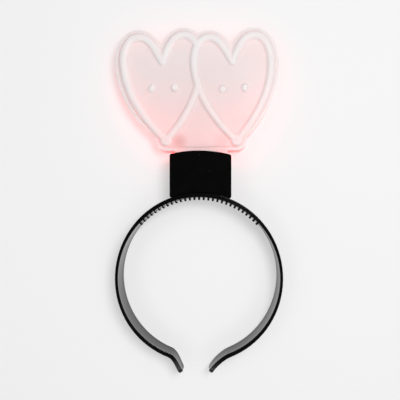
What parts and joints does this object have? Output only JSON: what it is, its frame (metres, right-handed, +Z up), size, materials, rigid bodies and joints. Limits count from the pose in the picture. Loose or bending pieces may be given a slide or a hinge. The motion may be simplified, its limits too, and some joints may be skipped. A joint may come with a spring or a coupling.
{
  "type": "light-up headband",
  "caption": "Black plastic headband with comb teeth, a battery box on its crown and a frosted double-heart diffuser lit red, lying on its back.",
  "frame": {"origin": "centre of the whole object's box, on the surface it lies on", "axes": "+Z up off the surface, through the depth of the box and the hearts; +Y from the tips of the band to the tops of the hearts; +X to the right seen from above"},
  "size_m": [0.129, 0.2672, 0.021],
  "materials": {
    "band_plastic": "black moulded plastic, satin, grey where the inside face catches the light",
    "box_plastic": "black moulded plastic with a fine matt grain",
    "frosted_plastic": "frosted translucent white plastic, glowing red from the lamps, strongest next to the box",
    "red_lamp": "clear red lamp body, lit"
  },
  "bodies": {
    "root": {"headband": "band_plastic", "battery_box": "box_plastic", "diffuser_front": "frosted_plastic", "diffuser_back": "frosted_plastic", "led_left": "red_lamp", "led_right": "red_lamp"}
  },
  "joints": []
}
